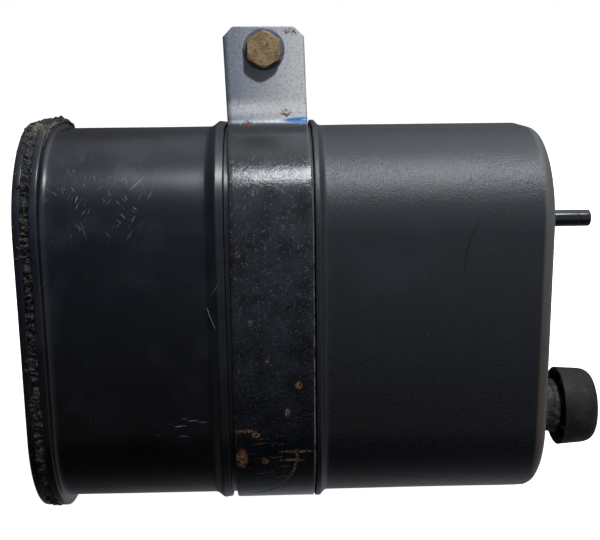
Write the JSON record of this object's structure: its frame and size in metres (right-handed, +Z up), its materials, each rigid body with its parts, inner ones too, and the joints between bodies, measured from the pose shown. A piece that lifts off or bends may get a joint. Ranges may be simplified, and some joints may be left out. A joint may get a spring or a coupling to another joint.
{
  "type": "strap-mounted reservoir canister",
  "caption": "Strap-mounted moulded reservoir canister with a welded end cover, hose nipple, capped vent neck and bolted steel clamp band.",
  "frame": {"origin": "on the clamp bolt's line, midway between the two band tabs, where a carrying bracket sits", "axes": "+X along the box from the welded cover to the port end, +Y from its front to its back along the bolt, +Z up through the tabs"},
  "size_m": [0.2399, 0.1054, 0.2011],
  "materials": {
    "moulded_nylon": "black moulded nylon, fine grain towards the port end and smooth towards the cover",
    "weld_flash": "rough torn plastic squeezed out of the weld",
    "painted_band_steel": "worn gloss black paint on steel strip with rust spots",
    "rusty_zinc_steel": "dull olive zinc plate turning to rust",
    "gloss_tube": "smooth glossy black tube",
    "black_rubber": "dusty black rubber",
    "filter_felt": "pressed grey felt",
    "granules": "packed black granules",
    "spring_steel": "bright drawn spring wire"
  },
  "bodies": {
    "canister": {"body_shell": "moulded_nylon", "end_cover": "moulded_nylon", "weld_flash": "weld_flash", "clamp_band": "painted_band_steel", "tab_nut": "rusty_zinc_steel", "hose_nipple": "gloss_tube", "vent_neck": "moulded_nylon", "partition": "moulded_nylon", "upper_port_plate": "moulded_nylon", "lower_port_plate": "moulded_nylon", "upper_port_felt": "filter_felt", "lower_port_felt": "filter_felt", "upper_bed": "granules", "lower_bed": "granules", "upper_spring": "spring_steel", "lower_spring": "spring_steel"},
    "washer": {"tab_washer": "rusty_zinc_steel"},
    "bolt": {"tab_bolt": "rusty_zinc_steel"},
    "cap": {"vent_cap": "black_rubber", "cap_filter": "filter_felt"},
    "upper_plate": {"upper_retainer": "moulded_nylon", "upper_cover_felt": "filter_felt"},
    "lower_plate": {"lower_retainer": "moulded_nylon", "lower_cover_felt": "filter_felt"}
  },
  "joints": [
    {"name": "bolt_travel", "type": "slide", "parent": "canister", "child": "washer", "axis": [0, -1, 0], "range_m": [0, 0.0106]},
    {"name": "bolt_turn", "type": "hinge", "parent": "washer", "child": "bolt", "pos_m": [0, 0, 0], "axis": [0, -1, 0], "range_deg": [0, 3060]},
    {"name": "cap_pull", "type": "slide", "parent": "canister", "child": "cap", "axis": [1, 0, 0], "range_m": [0, 0.02]},
    {"name": "upper_retainer_slide", "type": "slide", "parent": "canister", "child": "upper_plate", "axis": [-1, 0, 0], "range_m": [0, 0.004], "stiffness_N_per_m": 2500, "springref_m": -0.008, "deforming": ["upper_spring"]},
    {"name": "lower_retainer_slide", "type": "slide", "parent": "canister", "child": "lower_plate", "axis": [-1, 0, 0], "range_m": [0, 0.004], "stiffness_N_per_m": 2500, "springref_m": -0.008, "deforming": ["lower_spring"]}
  ],
  "couplings": [
    {"joint": "bolt_turn", "follows": "bolt_travel", "rad_per_m": 5026.5}
  ]
}
